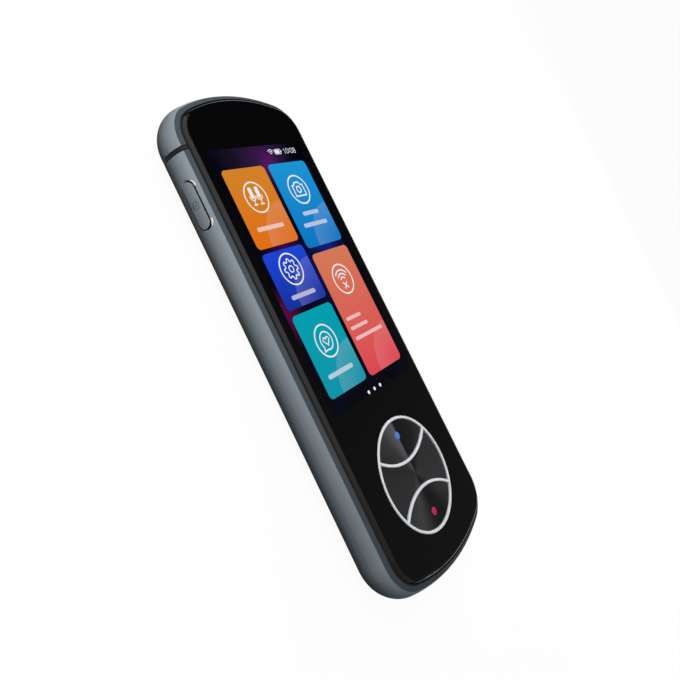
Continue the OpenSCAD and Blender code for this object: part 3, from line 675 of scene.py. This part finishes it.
# Each tile: box, colour at its top and bottom, what is drawn on it and where, and in place of
# words its label bars, each from x, at y, with its length
TILES = {
    "voice": dict(
        box=(-17.15, 22.08, -0.8, 42.45), top=linear(210, 132, 42), bottom=linear(226, 112, 18),
        draw=draw_voices, icon=(-9.0, 34.7), bars=((-14.2, 26.8, 10.4),), bar_h=1.1),
    "camera": dict(
        box=(0.8, 19.16, 17.15, 42.45), top=linear(28, 150, 214), bottom=linear(12, 118, 196),
        draw=draw_camera, icon=(8.9, 34.7),
        bars=((5.6, 28.1, 7.0), (3.7, 25.0, 10.6)), bar_h=1.1),
    "settings": dict(
        box=(-17.15, 6.77, -0.8, 20.89), top=linear(28, 70, 214), bottom=linear(22, 48, 158),
        draw=draw_gear, icon=(-9.0, 15.8), bars=((-13.8, 9.25, 9.7),), bar_h=1.1),
    "network": dict(
        box=(0.8, -15.3, 17.15, 17.49), top=linear(214, 122, 88), bottom=linear(222, 70, 84),
        draw=draw_network, icon=(8.9, 9.25),
        bars=((2.2, -0.45, 6.8), (2.2, -3.0, 8.1), (2.2, -5.7, 13.2)), bar_h=0.9),
    "favourite": dict(
        box=(-17.15, -15.13, -0.8, 5.33), top=linear(0, 160, 176), bottom=linear(16, 148, 172),
        draw=draw_favourite, icon=(-9.0, -2.75), bars=((-14.4, -10.5, 10.6),), bar_h=1.1),
}


def make_tile(name, tile):
    """The plate, the ringed icon and the label bars of a tile."""
    plate = face_drawing(TILE_LEVEL)
    plate.area(rounded_box(*tile["box"], TILE_CORNER))
    plate.piece(
        f"tile_{name}",
        tile_paint(f"picture_{name}", tile["top"], tile["bottom"], tile["box"], DISC_RADIUS),
        "display_panel",
    )
    icon = face_drawing(ICON_LEVEL)
    icon.loop(ring_points(tile["icon"], ICON_RADIUS), RING_LINE)
    tile["draw"](icon, tile["icon"])
    icon.piece(f"icon_{name}", picture_white, "display_panel")
    label = face_drawing(ICON_LEVEL)
    half = tile["bar_h"] / 2
    for x, y, length in tile["bars"]:
        label.area(rounded_box(x, y - half, x + length, y + half, half * 0.98))
    label.piece(
        f"label_{name}", lit_colour(f"picture_label_{name}", lighter(tile["bottom"], 0.45)),
        "display_panel",
    )


STATUS_Y = 45.7
PAGE_DOTS_Y = -18.15
DIGIT_WIDE, DIGIT_HIGH, DIGIT_LINE = 0.9, 1.4, 0.14


def draw_digit(drawing, x, y, digit):
    """A clock digit, 0, 1 or 8, with its lower left corner at x, y."""
    right, top = x + DIGIT_WIDE, y + DIGIT_HIGH
    if digit == 1:
        stem = x + 0.5
        drawing.line([(x + 0.2, top - 0.35), (stem, top), (stem, y)], DIGIT_LINE)
    elif digit == 0:
        drawing.loop(rounded_box(x, y, right, top, DIGIT_WIDE / 2), DIGIT_LINE)
    elif digit == 8:
        waist = y + DIGIT_HIGH * 0.52
        drawing.loop(rounded_box(x + 0.05, waist, right - 0.05, top, 0.3), DIGIT_LINE)
        drawing.loop(rounded_box(x, y, right, waist, 0.34), DIGIT_LINE)


def make_status_bar():
    """Radio arcs, a battery and a clock."""
    bar = face_drawing(ICON_LEVEL)
    for radius in (0.45, 0.95, 1.45):
        bar.line(arc((4.8, STATUS_Y - 0.7), radius, 48, 132, 10), 0.2)
    bar.loop(rounded_box(6.5, STATUS_Y - 0.65, 9.0, STATUS_Y + 0.65, 0.25), 0.18)
    bar.area(rounded_box(6.7, STATUS_Y - 0.45, 8.5, STATUS_Y + 0.45, 0.12))
    bar.area(rounded_box(9.12, STATUS_Y - 0.3, 9.38, STATUS_Y + 0.3, 0.1))
    for x, digit in ((10.3, 1), (11.5, 0), (13.35, 0), (14.6, 8)):
        draw_digit(bar, x, STATUS_Y - 0.75, digit)
    for rise in (-0.35, 0.35):
        bar.area(ring_points((12.9, STATUS_Y + rise), 0.14, 12))
    bar.piece("status_bar", picture_white, "display_panel")


def make_page_dots():
    dots = face_drawing(ICON_LEVEL)
    for x in (-2.8, 0.0, 2.8):
        dots.area(ring_points((x, PAGE_DOTS_Y), 0.45, 24))
    dots.piece("page_dots", picture_white, "display_panel")


def make_picture():
    sky = face_drawing(PICTURE_LEVEL)
    sky.area(rounded_box(*DISPLAY, DISPLAY_CORNER))
    sky.piece("display_picture", night_sky(), "display_panel")


# ---------- The mark on the power button ----------

# How deep the mark starts in the cap and how far it stands out, its radius, line and bar
SIGN_DEPTH, SIGN_LEVEL = 0.03, 0.006
SIGN_RADIUS = 0.86
SIGN_LINE = 0.24
SIGN_BAR_TOP, SIGN_BAR_STEP, SIGN_BAR_POINTS = 0.92, 0.2, 6


def make_power_mark():
    """A ring open towards the top end with a bar in the opening, laid on the curved cap."""
    cap = nodes["power_button"]
    tree = BVHTree.FromPolygons(
        [v.co[:] for v in cap.data.vertices], [p.vertices[:] for p in cap.data.polygons]
    )

    def on_cap(lift):
        def put(point):
            y = BUTTON_CENTRE.y + point[0]
            z = BUTTON_CENTRE.z + point[1]
            start = Vector((BUTTON_LOW.x - 5.0, y, z)) * MM
            hit = tree.ray_cast(start, Vector((1, 0, 0)))[0]
            return hit.x / MM - lift, y, z
        return put

    bar = [(0, SIGN_BAR_TOP - SIGN_BAR_STEP * i) for i in range(SIGN_BAR_POINTS)]
    sign = Drawing(on_cap(-SIGN_DEPTH), on_cap(SIGN_LEVEL))
    sign.line(arc((0, 0), SIGN_RADIUS, 125, 415, 40), SIGN_LINE)
    sign.line(bar, SIGN_LINE)
    sign.piece("power_mark", satin("mark_ink", linear(30, 34, 38), 0.4, 0.0, 0.1),
               "button_metal", "power_button")


# ---------- Finishes of the solids ----------

def finishes():
    """The material of each slot of the record."""
    sheet = dict(roughness=0.35, metallic=1.0, grain=0.15, stretch=(1, 12, 1))
    plastic = dict(roughness=0.5, metallic=0.0, grain=0.2, depth=0.003)
    anodised = dict(roughness=0.42, metallic=0.03, grain=0.09, tone=0.05, depth=0.0012,
                    Specular_IOR_Level=0.0)
    return {
        "frame_metal": anodised_frame("anodised_slate", **anodised),
        "button_metal": anodised_button("anodised_button", **anodised),
        "cover_metal": satin("anodised_back", linear(136, 146, 154), **anodised),
        "strip_black": strip_plastic("strip_plastic", linear(44, 49, 52), linear(8, 9, 10),
                                     Specular_IOR_Level=0.05, **plastic),
        "front_glass": polished_glass("front_glass", (0.0018, 0.0018, 0.0022), 0.5),
        "window_glass": polished_glass("window_glass", (0.004, 0.004, 0.008), 0.5),
        "gasket_black": satin("gasket_rubber", (0.004, 0.004, 0.004), 0.8, 0.0, 0.2),
        "trim_bright": satin("trim_metal", linear(225, 229, 232), 0.25, 0.1, 0.12, 0.03),
        "key_dark": spun_metal(),
        "light_blue": lit_dot("light_blue", linear(90, 128, 232)),
        "light_red": lit_dot("light_red", linear(196, 26, 78)),
        "ring_metal": satin("camera_ring_metal", linear(196, 202, 208), 0.22, 1.0, 0.08),
        "lens_clear": satin("frosted_lens", linear(236, 236, 226), 0.3, 0.0, 0.3),
        "port_steel": satin("port_steel", linear(190, 190, 194), **sheet),
        "sheet_steel": satin("sheet_steel", linear(180, 182, 186), **sheet),
        "shield_tin": satin("shield_tin", linear(196, 198, 202), **sheet),
        "mesh_grey": satin("dust_mesh", linear(40, 41, 43), 0.6, 0.5, 0.3, 0.4, 0.03),
        "battery_foil": satin("battery_foil", linear(186, 187, 190), 0.4, 0.8, 1.2, 0.1, 0.02),
        "gold_can": satin("gold_plate", linear(222, 186, 110), 0.3, 1.0, 0.2),
        "display_panel": satin("panel_glass", linear(24, 26, 60), **plastic),
        "flex_orange": satin("flex_film", linear(196, 122, 52), **plastic),
        "board_green": satin("solder_mask", linear(20, 92, 58), **plastic),
        "chip_black": satin("chip_moulding", linear(34, 35, 37), **plastic),
        "socket_ivory": satin("socket_plastic", linear(222, 216, 200), **plastic),
        "lead_red": satin("lead_skin", linear(170, 28, 30), **plastic),
        "speaker_black": satin("speaker_plastic", linear(30, 30, 32), **plastic),
        "camera_black": satin("camera_plastic", linear(28, 28, 31), **plastic),
        "led_yellow": satin("phosphor", linear(228, 214, 128), **plastic),
        "tongue_black": satin("tongue_plastic", linear(26, 26, 28), **plastic),
    }


def dress_solids():
    """Gives every solid of the frame the material of its slot."""
    looks = finishes()
    for part in frame["record"]["subparts"]:
        solid = nodes[part["node"]]
        for slot in solid.material_slots:
            slot.material = looks[part["material_slot"]]


# ---------- Studio ----------

# Light from overhead on matt surfaces
AMBIENT = 0.25

# What mirrored rays see: a dark side about an axis, out to an angle and over an edge in degrees,
# and white round it. Each has two levels, reached at two values of a direction's Y.
DARK_AXIS = Vector((1.0, 0.0, -0.577)).normalized()
DARK_HALF_ANGLE = 72.0
DARK_EDGE = 22.0
DARK_ENDS, DARK_LEVELS = (-0.4, 0.3), (0.08, 0.0)
WHITE_ENDS, WHITE_LEVELS = (-0.4, 0.1), (0.3, 1.0)

# The table: its drop below the part in millimetres, half its side in metres, its colours, and
# how bright it is to the camera and to mirrored rays
FLOOR_DROP = 0.05
FLOOR_SIZE = 3.0
FLOOR_TINTS = linear(58, 58, 58), linear(62, 62, 62)
FLOOR_LIFT = 0.95

# Soft lamps aimed at the origin: place and side in metres, watts
LAMPS = {
    "key": ((-0.085, 0.065, 0.14), 0.08, 0.21),
    "fill": ((0.1, -0.5, 0.5), 0.4, 0.8),
    "side": ((0.3, -0.05, 0.12), 0.2, 0.7),
    "far_corner": ((0.22, 0.3, 0.2), 0.2, 0.7),
}


def seen_rays(tree):
    """Two sockets: 1 for camera rays, and 1 for rays mirrored or let through."""
    path = add(tree, "ShaderNodeLightPath")
    mirrored = math_node(
        tree, "MAXIMUM", path.outputs["Is Glossy Ray"], path.outputs["Is Transmission Ray"]
    )
    return path.outputs["Is Camera Ray"], mirrored


def make_world():
    """White to the camera, white with a dark side to mirrored rays, dim overhead to the rest."""
    world = bpy.data.worlds.new("studio")
    bpy.context.scene.world = world
    world.use_nodes = True
    tree = world.node_tree
    direction = add(tree, "ShaderNodeTexCoord").outputs["Generated"]
    facing = vector_node(tree, "DOT_PRODUCT", {0: direction, 1: tuple(DARK_AXIS)}, "Value")
    split = add(tree, "ShaderNodeSeparateXYZ", {0: direction})
    dark = between(tree, split.outputs["Y"], *DARK_ENDS, *DARK_LEVELS, smooth=True)
    bright = between(tree, split.outputs["Y"], *WHITE_ENDS, *WHITE_LEVELS, smooth=True)
    white = between(
        tree, math_node(tree, "ARCCOSINE", facing), math.radians(DARK_HALF_ANGLE),
        math.radians(DARK_HALF_ANGLE + DARK_EDGE), dark, bright, smooth=True,
    )
    height = math_node(tree, "MAXIMUM", split.outputs["Z"], 0.0)
    overhead = math_node(tree, "MULTIPLY", math_node(tree, "POWER", height, 2.0), AMBIENT)
    camera, mirrored = seen_rays(tree)
    other = math_node(tree, "SUBTRACT", math_node(tree, "SUBTRACT", 1.0, camera), mirrored)
    strength = math_node(
        tree, "ADD", camera,
        math_node(tree, "ADD", math_node(tree, "MULTIPLY", mirrored, white),
                  math_node(tree, "MULTIPLY", other, overhead)),
    )
    background = tree.nodes["Background"]
    background.inputs["Color"].default_value = (1, 1, 1, 1)
    tree.links.new(strength, background.inputs["Strength"])


def make_floor():
    """A plain table, white to the camera and to mirrored rays and dark grey to all other light."""
    mesh = bmesh.new()
    bmesh.ops.create_grid(mesh, x_segments=8, y_segments=8, size=FLOOR_SIZE)
    data = bpy.data.meshes.new("floor")
    mesh.to_mesh(data)
    mesh.free()
    floor = bpy.data.objects.new("floor", data)
    floor.location.z = -FLOOR_DROP * MM
    bpy.context.scene.collection.objects.link(floor)
    material, tree, surface = shader("white_table", Roughness=0.9, Specular_IOR_Level=0.1)
    surface.inputs["Emission Color"].default_value = (1, 1, 1, 1)
    tint = noise(tree, place_mm(tree), 60.0, 2.0)
    tree.links.new(blend_colours(tree, tint, *FLOOR_TINTS), surface.inputs["Base Color"])
    camera, mirrored = seen_rays(tree)
    tree.links.new(
        math_node(tree, "MULTIPLY", math_node(tree, "MAXIMUM", camera, mirrored), FLOOR_LIFT),
        surface.inputs["Emission Strength"],
    )
    data.materials.append(material)


def make_lamps():
    for name, (place, side, watts) in LAMPS.items():
        data = bpy.data.lights.new(name, "AREA")
        data.shape = "RECTANGLE"
        data.size = data.size_y = side
        data.energy = watts
        lamp = bpy.data.objects.new(name, data)
        lamp.location = place
        lamp.rotation_euler = (-Vector(place)).to_track_quat("-Z", "Y").to_euler()
        lamp.visible_camera = False
        lamp.visible_glossy = False
        bpy.context.scene.collection.objects.link(lamp)


# ---------- Camera ----------

# Place in metres, the directions of the picture's right and up and of the camera's back, lens and
# sensor in millimetres, shift in widths of the picture
CAMERA_PLACE = (-0.14815, -0.00122, 0.11436)
CAMERA_RIGHT = (0.55407, -0.43818, 0.70782)
CAMERA_UP = (0.19733, 0.89516, 0.39970)
CAMERA_BACK = (-0.80875, -0.08179, 0.58244)
CAMERA_LENS = 39.38
CAMERA_SENSOR = 36.0
CAMERA_SHIFT = (0.0516, -0.0946)
CAMERA_NEAR = 0.005


def make_camera():
    data = bpy.data.cameras.new("camera")
    data.sensor_fit = "HORIZONTAL"
    data.sensor_width = CAMERA_SENSOR
    data.lens = CAMERA_LENS
    data.shift_x, data.shift_y = CAMERA_SHIFT
    data.clip_start = CAMERA_NEAR
    camera = bpy.data.objects.new("camera", data)
    turn = Matrix((CAMERA_RIGHT, CAMERA_UP, CAMERA_BACK)).transposed()
    camera.matrix_world = Matrix.Translation(CAMERA_PLACE) @ turn.to_4x4()
    bpy.context.scene.collection.objects.link(camera)
    bpy.context.scene.camera = camera


# ---------- The scene ----------

picture_white = lit_colour("picture_white", LIT_WHITE)
dress_solids()
make_picture()
for tile_name, tile_facts in TILES.items():
    make_tile(tile_name, tile_facts)
make_status_bar()
make_page_dots()
make_power_mark()
make_world()
make_floor()
make_lamps()
make_camera()
bpy.context.scene.view_settings.view_transform = "Standard"
